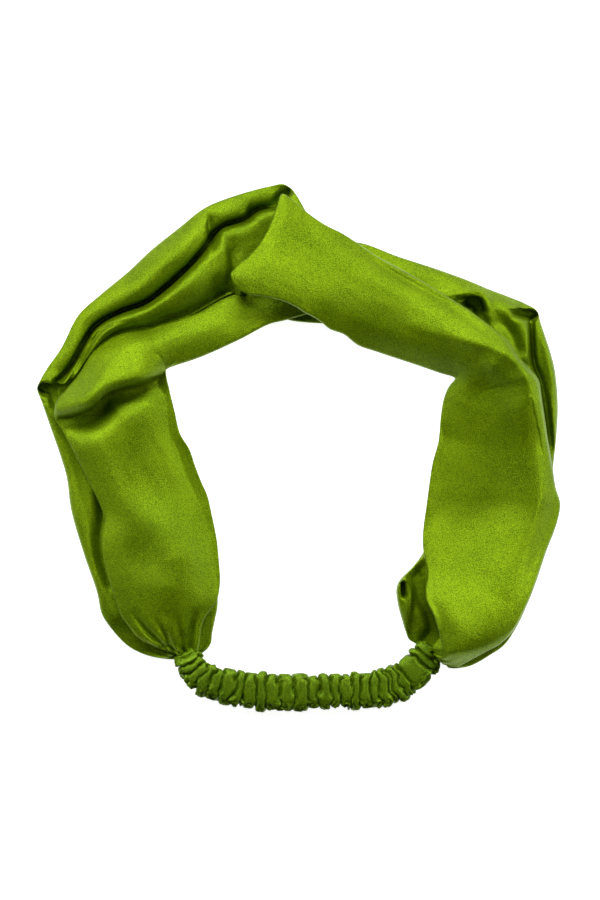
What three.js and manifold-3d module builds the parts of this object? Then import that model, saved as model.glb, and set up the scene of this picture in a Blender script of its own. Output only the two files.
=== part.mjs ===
// Knotted satin headband, lying flat: two folded satin bands looped through each other at the
// front knot, joined at the back by a ruched casing with an elastic strip inside it.
// Millimetres, +Z up. The knot is towards +Y, the elastic towards -Y, and the band lies on z = 0.
import * as THREE from 'three';
import { mergeVertices } from 'three/addons/utils/BufferGeometryUtils.js';
import Module from 'manifold-3d';

const wasm = await Module();
wasm.setup();

// ---------------------------------------------------------------- driving dimensions
const LAYER = 7;                 // thickness of one soft, folded layer of a band
const BACK_Z = 3.2;              // middle height of the layer that lies on the table
const FRONT_Z = 12.5;            // middle height of the layer that lies on top of it
const EDGE_FULLNESS = 3.2;       // superellipse power of a band's section: higher is squarer
const SECTION_POINTS = 14;       // points around a band's section
const STEPS_PER_SPAN = 2;        // sections from one rail station to the next

const CASING_HEIGHT = 9.6;       // ruched casing, outside
const CASING_WALL = 1.3;
const CASING_Z = CASING_HEIGHT / 2 - 0.1;
const CASING_POINTS = 12;        // points around the casing's section
const CASING_FULLNESS = 2.6;     // superellipse power of that section
const CASING_STEPS = 40;

const ELASTIC_WIDTH = 7;
const ELASTIC_THICK = 1.2;
const ELASTIC_Z = 5.9;
const ELASTIC_INSET = 0.035;     // how far in from the casing's mouths it ends, part of its length
const ELASTIC_POINTS = 8;
const ELASTIC_FULLNESS = 6;
const ELASTIC_STEPS = 28;

const NECK_HALF_WIDTH = 3.4;     // gathered end where it is stitched
const NECK_HEIGHT = 6.4;
const NECK_Z = 4.6;
const TAIL_HEIGHT = 1.8;         // the same end, pressed flat inside the casing
const TAIL_Z = 3.4;
const TAIL_LENGTH = 8;           // how far it reaches into the casing
const NECK_LENGTH = 3;           // from the band's shoulder to the casing's mouth
const NECK_POINTS = 10;
const NECK_FULLNESS = 2.6;

const THREAD = 0.5;              // diameter of the sewing thread's wrap
const THREAD_CLEARANCE = 0.35;
const THREAD_POINTS = 5;         // points around the thread
const WRAP_STITCHES = 9;
const WRAP_STEPS = 54;
const WRAP_WAVE = 0.55;          // how far a stitch leans along the neck

// ---------------------------------------------------------------- small helpers
const v3 = (x, y, z) => new THREE.Vector3(x, y, z);

function signedPower(value, power) {
  return Math.sign(value) * Math.abs(value) ** power;
}

// Unit superellipse, counter-clockwise, as [across, up] pairs.
function sectionOutline(count, power) {
  return Array.from({ length: count }, (_, i) => {
    const angle = ((i + 0.5) / count) * 2 * Math.PI;
    return [signedPower(Math.cos(angle), 2 / power), signedPower(Math.sin(angle), 2 / power)];
  });
}

// Joins rings of equal length into one closed surface. Ends are capped unless the rings close.
function skin(rings, closed = false) {
  const count = rings[0].length;
  const positions = rings.flat().flatMap((p) => [p.x, p.y, p.z]);
  const index = [];
  const spans = closed ? rings.length : rings.length - 1;
  for (let s = 0; s < spans; s += 1) {
    for (let i = 0; i < count; i += 1) {
      const a = s * count + i;
      const b = s * count + ((i + 1) % count);
      const c = ((s + 1) % rings.length) * count + i;
      const d = ((s + 1) % rings.length) * count + ((i + 1) % count);
      index.push(a, b, d, a, d, c);
    }
  }
  if (!closed) {
    const last = (rings.length - 1) * count;
    for (let i = 1; i < count - 1; i += 1) {
      index.push(0, i + 1, i);
      index.push(last, last + i, last + i + 1);
    }
  }
  const geometry = new THREE.BufferGeometry();
  geometry.setAttribute('position', new THREE.Float32BufferAttribute(positions, 3));
  geometry.setIndex(index);
  return faceOutward(geometry);
}

function signedVolume(geometry) {
  const p = geometry.getAttribute('position');
  const order = geometry.getIndex();
  let total = 0;
  for (let i = 0; i < order.count; i += 3) {
    const [a, b, c] = [0, 1, 2].map((k) => v3().fromBufferAttribute(p, order.getX(i + k)));
    total += a.dot(b.cross(c)) / 6;
  }
  return total;
}

function faceOutward(geometry) {
  if (signedVolume(geometry) < 0) {
    const order = geometry.getIndex();
    for (let i = 0; i < order.count; i += 3) {
      const second = order.getX(i + 1);
      order.setX(i + 1, order.getX(i + 2));
      order.setX(i + 2, second);
    }
  }
  return geometry;
}

function toSolid(geometry) {
  const merged = mergeVertices(geometry, 1e-4);
  return new wasm.Manifold(new wasm.Mesh({
    numProp: 3,
    vertProperties: new Float32Array(merged.getAttribute('position').array),
    triVerts: new Uint32Array(merged.getIndex().array),
  }));
}

function toGeometry(solid) {
  const mesh = solid.getMesh();
  const geometry = new THREE.BufferGeometry();
  geometry.setAttribute('position', new THREE.Float32BufferAttribute(mesh.vertProperties, 3));
  geometry.setIndex(Array.from(mesh.triVerts));
  return geometry;
}

function join(...geometries) {
  return toGeometry(geometries.map(toSolid).reduce((sum, solid) => sum.add(solid)));
}

// ---------------------------------------------------------------- bands
// A station is [outer x, outer y, inner x, inner y, middle z, thickness]. The band runs through
// them from its gathered end, around its loop at the knot, and back to its gathered end.
const LEFT_STATIONS = [
  [-47.6, -82, -40.4, -81.8, 2.2, 4],
  [-60, -82.6, -36.4, -77, 2.9, 6],
  [-75, -70, -35, -61, BACK_Z, LAYER],
  [-85.5, -43, -37, -39, BACK_Z, LAYER],
  [-91, -15, -43, -13, BACK_Z, LAYER],
  [-98.5, 9, -55, 11, BACK_Z, LAYER],
  [-104, 24.5, -65, 28, 3.8, LAYER],
  [-87.5, 54, -72, 39, 5, 6.5],
  [-57.5, 79, -51.5, 54, 9, LAYER],
  [-37, 96, -31, 68.5, 14, 9],
  [-19, 102.5, -18.5, 71.5, 15, 9.5],
  [-4, 105, -14, 69, 15, 9.5],
  [7, 91, -12.5, 65.5, 15, 9.5],
  [13.5, 71, -12.5, 63, 15, 9.5],
  [11, 54, -13.5, 59, 15, 9.5],
  [-4, 51, -19.5, 56.5, 15.5, 9],
  [-23, 42, -33, 56.5, 15.5, 9],
  [-39, 36, -55, 48.5, 16, 8],
  [-52.5, 30.5, -73, 45, 16.5, 7.5],
  [-53, 27, -96.8, 19, 15.5, 7.5],
  [-49.5, 15.5, -95, 11, 13.5, LAYER],
  [-44, 0, -87, -6, FRONT_Z, LAYER],
  [-37.5, -16, -80, -21, FRONT_Z, LAYER],
  [-32.5, -33, -78, -37, FRONT_Z, LAYER],
  [-31, -47, -76, -50, FRONT_Z, LAYER],
  [-32.5, -63, -71, -65, 11.5, 6.5],
  [-35, -74.5, -63, -76, 9.6, 5.4],
  [-40, -81.6, -48, -82, 6.6, 3.6],
];

const RIGHT_STATIONS = [
  [58.5, -84.5, 50.8, -77, 2.2, 4],
  [68, -86.4, 45, -74, 2.9, 6],
  [83, -78, 41, -61, BACK_Z, LAYER],
  [96, -45, 43, -51, BACK_Z, LAYER],
  [102, -21, 57, -29, BACK_Z, LAYER],
  [103, 3, 61, -1, BACK_Z, LAYER],
  [104, 19, 65.5, 21, BACK_Z, LAYER],
  [100, 47, 68.5, 38, BACK_Z, LAYER],
  [94.8, 55.8, 62, 46, 3.6, 7.2],
  [69, 65.5, 52.5, 47, 4, 7.6],
  [41, 76, 37, 47, 4.2, 8],
  [23, 82.5, 17, 49, 4.2, 8],
  [-3, 74, -5, 52, 4.2, 7.5],
  [-14.5, 69, -16, 59, 4, LAYER],
  [-21.5, 67.8, -21.5, 60, 6, 6.6],
  [-24, 67.4, -24, 60.4, 15.5, 6],
  [-21.5, 67.8, -21.5, 60.4, 24.5, 6],
  [-19, 73, -14.5, 59.8, 26, 6.4],
  [-13, 86, -5, 56.5, 26.6, 7.4],
  [-4, 102, 5, 52, 27, 8],
  [13, 88, 19, 45, 26.5, 8],
  [33, 76, 41, 37, 24.5, 8],
  [53, 63, 57, 32, 21, 8],
  [79.5, 48, 63, 28, 18.5, 8],
  [93, 35, 59.5, 23, 16.5, 7.5],
  [98.5, 20.5, 57, 14, 14.5, LAYER],
  [101, -5, 53, -8, FRONT_Z, LAYER],
  [105, -24, 50.5, -25, FRONT_Z, LAYER],
  [99, -44, 50.5, -41, FRONT_Z, LAYER],
  [91.5, -63, 53.5, -61, 11.5, 6.5],
  [83, -78, 56, -72, 9.6, 5.4],
  [68, -86, 56, -79, 8, 4.4],
  [58.8, -84.6, 52, -78, 6.6, 3.6],
];

function bandGeometry(stations) {
  const rail = (a, b) => new THREE.CatmullRomCurve3(stations.map((s) => v3(s[a], s[b], s[4])));
  const outer = rail(0, 1);
  const inner = rail(2, 3);
  const thickness = new THREE.CatmullRomCurve3(stations.map((s) => v3(s[5], 0, 0)));
  const outline = sectionOutline(SECTION_POINTS, EDGE_FULLNESS);
  const steps = (stations.length - 1) * STEPS_PER_SPAN;
  const middleAt = (t) => outer.getPoint(t).add(inner.getPoint(t)).multiplyScalar(0.5);
  const rings = [];
  for (let k = 0; k <= steps; k += 1) {
    const t = k / steps;
    const middle = middleAt(t);
    const across = outer.getPoint(t).sub(inner.getPoint(t)).multiplyScalar(0.5);
    const along = middleAt(Math.min(1, t + 1e-3)).sub(middleAt(Math.max(0, t - 1e-3)));
    const up = along.cross(across).normalize().multiplyScalar(thickness.getPoint(t).x / 2);
    rings.push(outline.map(([w, h]) => {
      const point = middle.clone().addScaledVector(across, w).addScaledVector(up, h);
      point.z = Math.max(0, point.z);
      return point;
    }));
  }
  return skin(rings);
}

// ---------------------------------------------------------------- casing and its centre line
// [x, y, half width] from the left gathered end to the right one.
const CASING_STATIONS = [
  [-43.6, -85, 5.3],
  [-42, -89.5, 5.8],
  [-36.5, -93.8, 6.3],
  [-27, -96.2, 6.5],
  [-15, -97.8, 6.6],
  [0, -98, 6.7],
  [15, -97.6, 6.6],
  [31, -97, 6.5],
  [40, -94.4, 6.5],
  [46.6, -89.6, 6.5],
  [51.6, -83.6, 6.2],
];
const casingLine = new THREE.CatmullRomCurve3(CASING_STATIONS.map(([x, y]) => v3(x, y, 0)));
const casingHalfWidth = new THREE.CatmullRomCurve3(CASING_STATIONS.map((s) => v3(s[2], 0, 0)));

function ringAcross(line, t, halfWidth, height, z, count, power) {
  const middle = line.getPoint(t);
  const along = line.getTangent(t);
  const across = v3(along.y, -along.x, 0);
  return sectionOutline(count, power).map(([w, h]) => {
    const point = middle.clone().addScaledVector(across, w * halfWidth);
    point.z = Math.max(0, z + (h * height) / 2);
    return point;
  });
}

function casingGeometry() {
  const width = (t) => casingHalfWidth.getPoint(t).x;
  const wall = (shrink, t) => ringAcross(
    casingLine, t, width(t) - shrink, CASING_HEIGHT - 2 * shrink, CASING_Z, CASING_POINTS,
    CASING_FULLNESS,
  );
  const times = Array.from({ length: CASING_STEPS + 1 }, (_, k) => k / CASING_STEPS);
  const outside = times.map((t) => wall(0, t));
  const inside = times.map((t) => wall(CASING_WALL, t)).reverse();
  return skin([...outside, ...inside], true);
}

function elasticGeometry() {
  const rings = Array.from({ length: ELASTIC_STEPS + 1 }, (_, k) => {
    const t = ELASTIC_INSET + (k / ELASTIC_STEPS) * (1 - 2 * ELASTIC_INSET);
    return ringAcross(
      casingLine, t, ELASTIC_WIDTH / 2, ELASTIC_THICK, ELASTIC_Z, ELASTIC_POINTS,
      ELASTIC_FULLNESS,
    );
  });
  return skin(rings);
}

// ---------------------------------------------------------------- gathered ends and stitches
// A side is one mouth of the casing: its place along the casing's line, and the way into it.
function sideAt(t) {
  const inward = casingLine.getTangent(t).multiplyScalar(t < 0.5 ? 1 : -1);
  return { t, mouth: casingLine.getPoint(t), inward };
}
const SIDES = { left: sideAt(0), right: sideAt(1) };

// The pleated end: thick where the layers meet, a neck at the stitches, flat inside the casing.
function gatheredEnd(side) {
  const length = casingLine.getLength();
  const at = (distance) => {
    if (distance <= 0) return side.mouth.clone().addScaledVector(side.inward, distance);
    const part = distance / length;
    return casingLine.getPointAt(side.t < 0.5 ? part : 1 - part);
  };
  const profile = [
    [-NECK_LENGTH - 1.6, NECK_HALF_WIDTH + 0.4, NECK_HEIGHT, NECK_Z],
    [-NECK_LENGTH + 0.4, NECK_HALF_WIDTH, NECK_HEIGHT, NECK_Z],
    [-0.6, NECK_HALF_WIDTH - 0.1, NECK_HEIGHT - 1, NECK_Z],
    [0.6, NECK_HALF_WIDTH - 0.3, TAIL_HEIGHT + 0.4, TAIL_Z],
    [TAIL_LENGTH / 2, NECK_HALF_WIDTH - 0.4, TAIL_HEIGHT, TAIL_Z],
    [TAIL_LENGTH, NECK_HALF_WIDTH - 0.6, TAIL_HEIGHT, TAIL_Z],
  ];
  const rings = profile.map(([distance, halfWidth, height, z]) => {
    const middle = at(distance);
    const ahead = at(distance + 0.2).sub(middle).normalize();
    const across = v3(ahead.y, -ahead.x, 0);
    return sectionOutline(NECK_POINTS, NECK_FULLNESS).map(([w, h]) => {
      const point = middle.clone().addScaledVector(across, w * halfWidth);
      point.z = z + (h * height) / 2;
      return point;
    });
  });
  return skin(rings);
}

// Thread sewn round and round an oval: one closed loop whose stitches lean to and fro.
function threadWrap(middle, along, halfWidth, halfHeight, stitches, wave) {
  const across = v3(along.y, -along.x, 0);
  const radius = THREAD / 2;
  const centreAt = (angle) => middle.clone()
    .addScaledVector(across, Math.cos(angle) * (halfWidth + radius))
    .addScaledVector(along, Math.cos(angle * stitches) * wave)
    .add(v3(0, 0, Math.sin(angle) * (halfHeight + radius)));
  const rings = Array.from({ length: WRAP_STEPS }, (_, k) => {
    const angle = (k / WRAP_STEPS) * 2 * Math.PI;
    const centre = centreAt(angle);
    const forward = centreAt(angle + 0.01).sub(centreAt(angle - 0.01)).normalize();
    const outward = centre.clone().sub(middle);
    outward.addScaledVector(forward, -outward.dot(forward)).normalize();
    const sideways = forward.clone().cross(outward);
    return Array.from({ length: THREAD_POINTS }, (__, i) => {
      const turn = (i / THREAD_POINTS) * 2 * Math.PI;
      return centre.clone()
        .addScaledVector(outward, Math.cos(turn) * radius)
        .addScaledVector(sideways, Math.sin(turn) * radius);
    });
  });
  return skin(rings, true);
}

function seamThread(side) {
  const middle = side.mouth.clone().addScaledVector(side.inward, -NECK_LENGTH / 2 + 0.1);
  middle.z = NECK_Z;
  const halfWidth = NECK_HALF_WIDTH + THREAD_CLEARANCE;
  const halfHeight = NECK_HEIGHT / 2 + THREAD_CLEARANCE;
  return threadWrap(middle, side.inward, halfWidth, halfHeight, WRAP_STITCHES, WRAP_WAVE);
}

// ---------------------------------------------------------------- materials
const satin = (color) => new THREE.MeshStandardMaterial({ color, roughness: 0.42, metalness: 0 });
const MATERIALS = {
  band: satin(0x7a9a12),
  casing: satin(0x66860f),
  elastic: new THREE.MeshStandardMaterial({ color: 0xe8e6df, roughness: 0.85, metalness: 0 }),
  thread: new THREE.MeshStandardMaterial({ color: 0x5f7d10, roughness: 0.6, metalness: 0 }),
};

// ---------------------------------------------------------------- assembly
const group = new THREE.Group();

function add(name, geometry, material) {
  const mesh = new THREE.Mesh(geometry, material);
  mesh.name = name;
  group.add(mesh);
}

add('left_band', join(bandGeometry(LEFT_STATIONS), gatheredEnd(SIDES.left)), MATERIALS.band);
add('right_band', join(bandGeometry(RIGHT_STATIONS), gatheredEnd(SIDES.right)), MATERIALS.band);
add('elastic_casing', casingGeometry(), MATERIALS.casing);
add('elastic_strip', elasticGeometry(), MATERIALS.elastic);
add('left_seam_thread', seamThread(SIDES.left), MATERIALS.thread);
add('right_seam_thread', seamThread(SIDES.right), MATERIALS.thread);

// The origin is the middle of the underside of the whole headband's box.
const middle = new THREE.Box3().setFromObject(group).getCenter(v3(0, 0, 0));
group.children.forEach((mesh) => mesh.geometry.translate(-middle.x, -middle.y, 0));

export default group;
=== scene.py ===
"""Looks of the knotted satin headband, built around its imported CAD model.

Each satin band is one flattened cloth tube. It is lofted along a pair of edge rails, and its folds,
pleats and tucks are ridges and valleys drawn along curves of their own. Rails and folds are in
drawing millimetres: the CAD source's own coordinates, seen from straight above.
"""

import bpy
import numpy as np
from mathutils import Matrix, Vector, noise


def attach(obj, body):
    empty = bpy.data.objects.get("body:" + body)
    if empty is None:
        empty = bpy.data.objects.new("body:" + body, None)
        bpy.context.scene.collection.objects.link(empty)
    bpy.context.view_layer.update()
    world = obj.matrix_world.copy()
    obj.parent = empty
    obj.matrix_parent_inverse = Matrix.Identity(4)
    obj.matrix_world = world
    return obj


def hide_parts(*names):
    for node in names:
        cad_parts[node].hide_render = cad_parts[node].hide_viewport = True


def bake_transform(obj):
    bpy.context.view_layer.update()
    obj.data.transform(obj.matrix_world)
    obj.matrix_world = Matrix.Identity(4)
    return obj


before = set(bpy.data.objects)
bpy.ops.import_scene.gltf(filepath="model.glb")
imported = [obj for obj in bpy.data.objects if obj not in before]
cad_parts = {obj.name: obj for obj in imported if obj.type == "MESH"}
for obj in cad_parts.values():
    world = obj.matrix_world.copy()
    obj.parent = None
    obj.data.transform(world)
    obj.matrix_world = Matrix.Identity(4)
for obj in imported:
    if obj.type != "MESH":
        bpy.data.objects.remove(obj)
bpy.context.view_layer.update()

# ------------------------------------------------------------------ drawing and camera
MM = 0.001
DRAWING_MIDDLE = np.array([0.436, 0.086])   # where the row frame's origin is in the drawing, mm
CAMERA_AIM = np.array([0.8, -1.0])          # point of the drawing under the camera, mm
CAMERA_HEIGHT = 2400.0                      # mm above the table
FIELD = 360.0                               # mm of table that the picture's long side covers
SENSOR = 36.0                               # mm


def to_row(points):
    """Drawing millimetres to row-frame metres.

    The drawing is what the camera sees, so a point at height z is nearer the aim than it looks.
    """
    p = np.array(points, float)
    nearer = 1 - p[..., 2:3] / CAMERA_HEIGHT
    p[..., :2] = CAMERA_AIM + (p[..., :2] - CAMERA_AIM) * nearer - DRAWING_MIDDLE
    return p * MM


# ------------------------------------------------------------------ curves and meshes
UV_UNIT = 10             # mm of cloth to one unit of UV


def spline(stations, at):
    """Smooth curve through the stations, read at the station numbers at."""
    p = np.array(stations, float)
    step = np.linalg.norm(np.diff(p, axis=0), axis=1) + 1e-6
    slope = np.diff(p, axis=0) / step[:, None]
    inner = (slope[1:] * step[:-1, None] + slope[:-1] * step[1:, None]) / (step[1:] + step[:-1])[:, None]
    slope = np.vstack([slope[:1], inner, slope[-1:]])
    k = np.clip(np.floor(at).astype(int), 0, len(p) - 2)
    f = (at - k)[:, None]
    h = step[k][:, None]
    start, end = p[k], p[k + 1]
    return (start * (1 + 2 * f) * (1 - f) ** 2 + end * f ** 2 * (3 - 2 * f)
            + h * slope[k] * f * (1 - f) ** 2 - h * slope[k + 1] * f ** 2 * (1 - f))


def smoothstep(x, low=0.0, high=1.0):
    """0 up to low, 1 from high on, and a smooth rise between them."""
    t = np.clip((x - low) / (high - low), 0, 1)
    return t * t * (3 - 2 * t)


def unit(vectors):
    """The vectors, each scaled to length 1."""
    return vectors / np.maximum(np.linalg.norm(vectors, axis=-1, keepdims=True), 1e-9)


def distance_along(points):
    """How far along a line each of its points is."""
    return np.concatenate([[0], np.cumsum(np.linalg.norm(np.diff(points, axis=0), axis=1))])


def blur(values, times):
    """Values smoothed along their first axis, with both ends kept."""
    for _ in range(times):
        middle = (values[:-2] + values[2:] + 2 * values[1:-1]) / 4
        values = np.concatenate([values[:1], middle, values[-1:]])
    return values


def fractal(points, seed, octaves=3):
    """Soft noise from -1 to 1 at points whose unit is the size of the noise's features."""
    shift = Vector((17.3 * seed, 5.1 * seed, 9.7 * seed))
    return np.array([noise.fractal(Vector(p) + shift, 0.7, 2.1, octaves) for p in points])


def grid_faces(rows, columns, closed_rows=False):
    """Quads of a grid whose columns close on themselves, and its rows too if asked."""
    last = rows if closed_rows else rows - 1
    i, j = np.meshgrid(np.arange(last), np.arange(columns), indexing="ij")
    k, m = (i + 1) % rows, (j + 1) % columns
    quads = np.stack([i * columns + j, k * columns + j, k * columns + m, i * columns + m], -1)
    return quads.reshape(-1, 4).tolist()


def enclosed(vertices, faces):
    """Signed volume inside a closed mesh: negative where its faces point inwards."""
    v = np.array(vertices)
    a, b, c = (np.array([face[k] for face in faces]) for k in (0, 1, 2))
    d = np.array([face[-1] for face in faces])
    halves = (np.cross(v[a], v[b]) * v[c]).sum() + (np.cross(v[a], v[c]) * v[d]).sum()
    return halves / 6


def mesh_object(name, vertices, faces, uvs=None):
    """A smooth-shaded object from vertices in metres, with its faces turned outwards."""
    mesh = bpy.data.meshes.new(name)
    if enclosed(vertices, faces) < 0:
        faces = [face[::-1] for face in faces]
    mesh.from_pydata([tuple(v) for v in vertices], [], faces)
    mesh.validate()
    if uvs is not None:
        layer = mesh.uv_layers.new(name="cloth")
        loops = np.empty(len(mesh.loops), int)
        mesh.loops.foreach_get("vertex_index", loops)
        layer.data.foreach_set("uv", np.array(uvs, np.float32)[loops].ravel())
    mesh.shade_smooth()
    obj = bpy.data.objects.new(name, mesh)
    bpy.context.scene.collection.objects.link(obj)
    return obj


# ------------------------------------------------------------------ folds
PATH_STEPS = 6           # straight steps between two points of a fold's path
FADE = (0.6, 0.2)        # stations before and after a span's end, between which a fold fades out
CHUNK = 4000             # points measured against a path at once


def fold(path, height, left, right, span, through=0.0, power=2.0):
    """A ridge (height above 0) or valley along path, in millimetres.

    left and right are how far it spreads on each side, going along the path, and power is how
    square its section is. It counts only between the two stations in span. through is how much
    of it the band's underside follows.
    """
    return {"path": path, "height": height, "left": left, "right": right, "span": span,
            "through": through, "power": power}


def beside_path(points, path):
    """Each point's distance from a path, its side of it, and its place along it in steps."""
    start = path[:-1]
    ab = path[1:] - start
    ap = points[:, None, :] - start[None]
    t = np.clip((ap * ab).sum(-1) / np.maximum((ab ** 2).sum(-1), 1e-9), 0, 1)
    away = ap - t[..., None] * ab
    distance = np.linalg.norm(away, axis=-1)
    near = distance.argmin(1)
    row = np.arange(len(points))
    side = ab[near, 0] * away[row, near, 1] - ab[near, 1] * away[row, near, 0]
    return distance[row, near], side, near + t[row, near]


def fold_height(item, points, station):
    """How high one fold lifts each of the points, given each point's station number."""
    first, last = item["span"]
    before, after = FADE
    inside = (smoothstep(station, first - before, first + after)
              * smoothstep(-station, -last - before, -last + after))
    count = PATH_STEPS * (len(item["path"]) - 1) + 1
    path = spline(item["path"], np.linspace(0, len(item["path"]) - 1, count))
    heights = np.interp(np.linspace(0, 1, count), np.linspace(0, 1, np.size(item["height"])),
                        np.atleast_1d(item["height"]))
    lift = np.zeros(len(points))
    use = np.flatnonzero(inside > 0)
    for chunk in np.array_split(use, max(1, len(use) // CHUNK)):
        distance, side, along = beside_path(points[chunk], path)
        width = np.where(side > 0, item["left"], item["right"])
        height = np.interp(along, np.arange(count), heights)
        lift[chunk] = height * np.exp(-(distance / width) ** item["power"])
    return lift * inside


# ------------------------------------------------------------------ bands
SECTION_STEP = 0.65      # mm between a band's sections, at most
ACROSS = 84              # points across each side of a band
EDGE_RADIUS = 0.85       # mm, the rounding of a band's folded edge
EDGE_SWELL = 12.0        # mm in from a folded edge, where the band reaches its full thickness
UNDER_SHARE = 0.75       # how much of the upper side's fullness the underside has
THINNEST = 0.9           # mm between the two sides at the bottom of a valley
CLEAR = 0.15             # mm between the table and the lowest cloth
WRINKLE = 0.12           # mm, fine unevenness of the cloth
WRINKLE_SIZE = (16, 5)   # mm along and across the band
SAMPLES = 60             # per station, for measuring a band's length
EVEN_SHARE = 0.45        # 1 would space the points across a band evenly
FRAME_BLUR = 12          # smoothing passes over the directions of a band's sections


def even_stations(rails):
    """Station numbers that put the band's sections at most SECTION_STEP apart."""
    t = np.linspace(0, len(rails) - 1, SAMPLES * len(rails))
    p = spline(rails, t)
    travel = np.maximum(np.linalg.norm(np.diff(p[:, 0:3], axis=0), axis=1),
                        np.linalg.norm(np.diff(p[:, 3:6], axis=0), axis=1))
    run = np.concatenate([[0], np.cumsum(travel)])
    return np.interp(np.linspace(0, run[-1], int(run[-1] / SECTION_STEP)), run, t)


def spread(count):
    """Places across the band from 0 to 1, closer together at the edges."""
    v = np.linspace(0, 1, count)
    return EVEN_SHARE * v + (1 - EVEN_SHARE) * (0.5 - 0.5 * np.cos(np.pi * v))


def half_thickness(u, width, full):
    """Half the tube's thickness at u across: round edges, fuller towards the middle."""
    edge = np.minimum(u, 1 - u) * width
    rounding = np.sqrt(np.clip(1 - (1 - np.minimum(edge / EDGE_RADIUS, 1)) ** 2, 0, 1))
    swell = np.sin(np.pi / 2 * np.minimum(edge / np.minimum(EDGE_SWELL, width / 2), 1))
    return rounding * (EDGE_RADIUS + np.maximum(full / 2 - EDGE_RADIUS, 0) * swell)


def section_frames(outer, inner):
    """Each section's normal and width, and how far along the band it is."""
    middle = (outer + inner) / 2
    along = unit(blur(np.gradient(middle, axis=0), FRAME_BLUR))
    normal = unit(blur(unit(np.cross(along, outer - inner)), FRAME_BLUR))
    width = np.linalg.norm(outer - inner, axis=1)[:, None]
    return normal, width, distance_along(middle)


def wrinkles(run, across, seed):
    """Fine unevenness of the cloth at a distance along and across the band."""
    length, breadth = WRINKLE_SIZE
    place = np.stack([np.broadcast_to(run[:, None] / length, across.shape), across / breadth,
                      np.full(across.shape, 4.0 * seed)], -1)
    return WRINKLE * fractal(place.reshape(-1, 3), seed).reshape(across.shape)


def two_sides(half, alone, whole, turned):
    """How far the tube's two sides lie from its flat section, along the section's normal.

    alone is the folds' lift of the upper side only, and whole that of both. turned is 1 where the
    normal points up and 0 where the band is turned over.
    """
    alone = alone * np.minimum(1, half)
    whole = whole * (2 * turned - 1)
    front = half * (UNDER_SHARE + (1 - UNDER_SHARE) * turned) + alone * turned + whole
    back = -half * (1 - (1 - UNDER_SHARE) * turned) - alone * (1 - turned) + whole
    short = np.maximum(0, THINNEST * np.minimum(1, half) - (front - back))
    return front + short * turned, back - short * (1 - turned)


def band_grid(rails, folds, pleats, seed):
    """Points of a band's tube in drawing millimetres, as sections x ring x 3, and its cloth UVs."""
    station = even_stations(rails)
    p = spline(rails, station)
    outer, inner, full = p[:, 0:3], p[:, 3:6], p[:, 6:7]
    normal, width, run = section_frames(outer, inner)
    u = spread(ACROSS)[None]
    flat = inner[:, None] + (outer - inner)[:, None] * u[..., None]
    turned = smoothstep(normal[:, 2:3], -0.4, 0.4)
    alone, whole = relief(folds, flat, station)
    alone += pleat_height(pleats, u[0], station)
    alone += wrinkles(run, width * u, seed)
    offsets = two_sides(half_thickness(u, width, full), alone, whole, turned)
    sheets = [flat + normal[:, None] * offset[..., None] for offset in offsets]
    for sheet, is_upper in zip(sheets, (turned, 1 - turned)):
        sheet[..., 2] = np.maximum(sheet[..., 2], CLEAR + THINNEST * is_upper)
    ring = np.concatenate([sheets[0], sheets[1][:, -2:0:-1]], axis=1)
    ring_u = np.concatenate([u[0], 2 - u[0, -2:0:-1]])
    uv = np.stack(np.broadcast_arrays(run[:, None] / UV_UNIT, ring_u[None] * width / UV_UNIT), -1)
    return soften(ring), uv


def relief(folds, flat, station):
    """The folds' lift of the upper side alone, and of the whole band, on a grid of points."""
    points = flat[..., :2].reshape(-1, 2)
    stations = np.repeat(station, flat.shape[1])
    alone, whole = np.zeros(len(points)), np.zeros(len(points))
    for item in folds:
        lift = fold_height(item, points, stations)
        alone += lift * (1 - item["through"])
        whole += lift * item["through"]
    return alone.reshape(flat.shape[:2]), whole.reshape(flat.shape[:2])


def pleat_height(pleats, u, station):
    """Pleats that gather the cloth at the band's two ends, as PLEATS lists them."""
    lift = np.zeros((len(station), len(u)))
    for end, reach, count, height, phase in pleats:
        strength = smoothstep(-abs(station - end), -reach, 0)[:, None]
        lift += height * strength * np.cos(2 * np.pi * (count * u[None] + phase))
    return lift


def soften(ring):
    """One smoothing pass over a tube's points."""
    across = (np.roll(ring, 1, 1) + np.roll(ring, -1, 1)) / 2
    lengthways = ring.copy()
    lengthways[1:-1] = (ring[:-2] + ring[2:]) / 2
    return 0.5 * ring + 0.25 * across + 0.25 * lengthways


def tube_faces(rows, columns, first=0):
    """Faces of a tube whose rings start at vertex first and are followed by its two cap points."""
    faces = [[first + k for k in face] for face in grid_faces(rows, columns)]
    cap, last = first + rows * columns, first + (rows - 1) * columns
    for j in range(columns):
        following = (j + 1) % columns
        faces.append([cap, first + j, first + following])
        faces.append([cap + 1, last + following, last + j])
    return faces


def tube_object(name, ring, uv):
    """A closed mesh from a tube's rings, capped at both ends."""
    caps = np.stack([ring[0].mean(0), ring[-1].mean(0)])
    vertices = to_row(np.vstack([ring.reshape(-1, 3), caps]))
    uvs = np.vstack([uv.reshape(-1, 2), uv[0].mean(0), uv[-1].mean(0)])
    return mesh_object(name, vertices, tube_faces(*ring.shape[:2]), uvs)


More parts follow.
